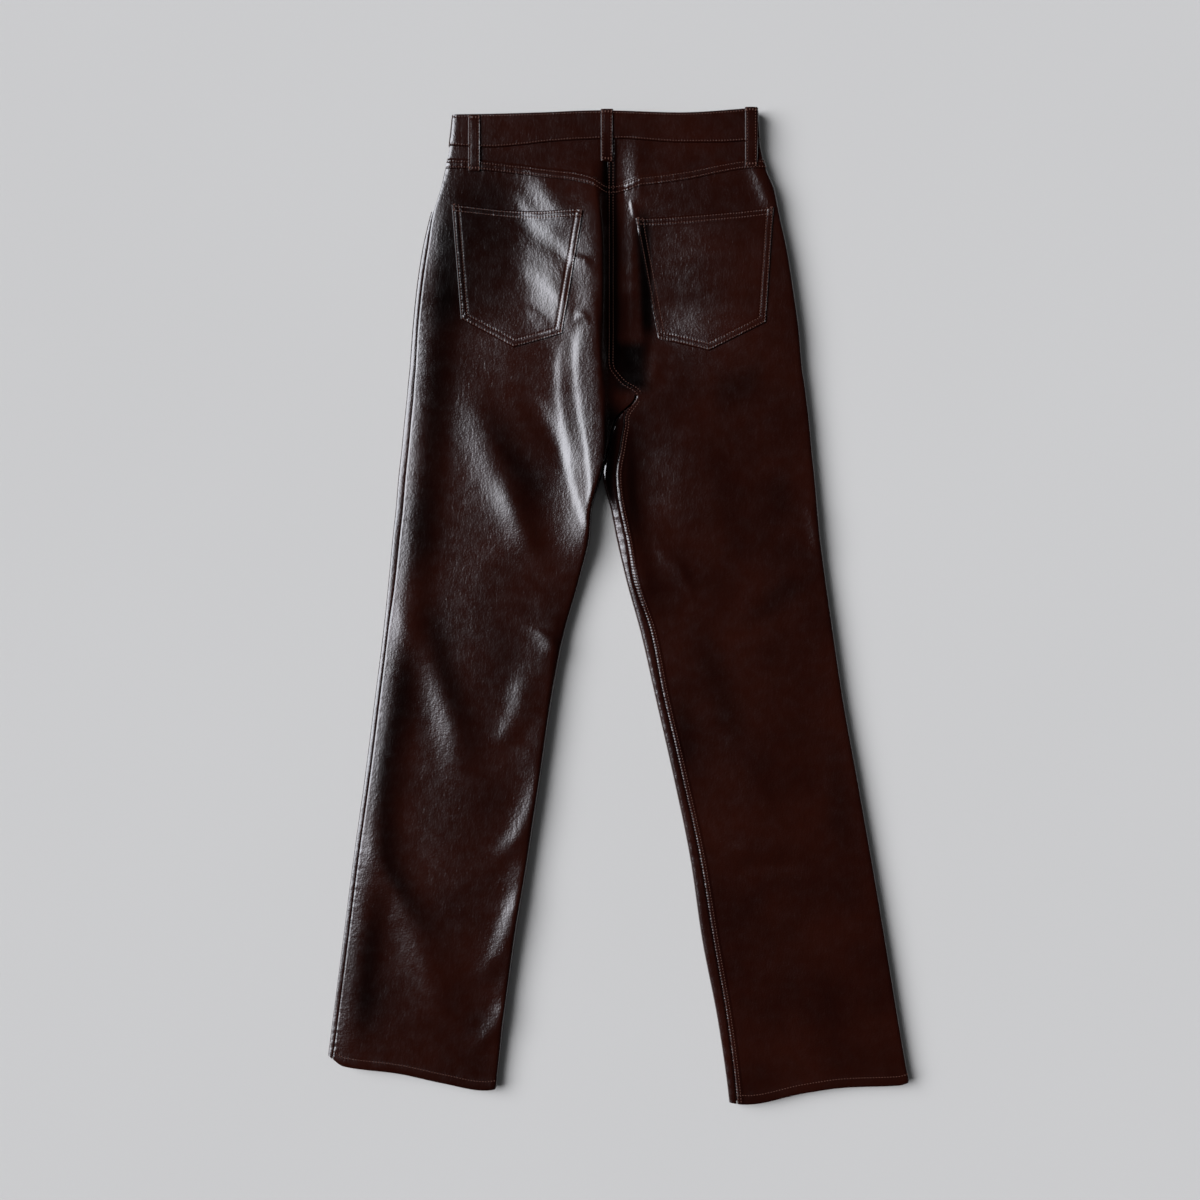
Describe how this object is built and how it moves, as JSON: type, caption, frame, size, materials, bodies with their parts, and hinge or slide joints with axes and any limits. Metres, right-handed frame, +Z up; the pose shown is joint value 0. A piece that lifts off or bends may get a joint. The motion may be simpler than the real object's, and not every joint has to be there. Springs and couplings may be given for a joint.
{
  "type": "leather trousers",
  "caption": "High-rise five-pocket leather trousers with straight legs, laid flat back side up: panels, yokes, waistband, belt loops, patch pockets and fly.",
  "frame": {"origin": "middle of the garment's footprint, on the surface it lies on", "axes": "+Y from the hems to the waist, +Z up through the thickness, +X to the wearer's right, seen from above with the back side up"},
  "size_m": [0.6232, 1.0672, 0.0279],
  "materials": {
    "leather_panels": "smooth coated leather, dark oxblood, glossy",
    "leather_trim": "smooth coated leather, dark oxblood, glossy",
    "leather_inner": "smooth coated leather, dark oxblood, satin",
    "metal": "dark nickel"
  },
  "bodies": {
    "root": {"back_left": "leather_panels", "back_right": "leather_panels", "front_left": "leather_panels", "front_right": "leather_panels", "yoke_left": "leather_panels", "yoke_right": "leather_panels", "waistband": "leather_trim", "loop_back_left": "leather_trim", "loop_back_centre": "leather_trim", "loop_back_right": "leather_trim", "loop_front_left": "leather_trim", "loop_front_right": "leather_trim", "pocket_back_left": "leather_trim", "pocket_back_right": "leather_trim", "pocket_facing_left": "leather_inner", "pocket_facing_right": "leather_inner", "fly_shield": "leather_inner", "zip": "metal", "waist_button": "metal"}
  },
  "joints": []
}
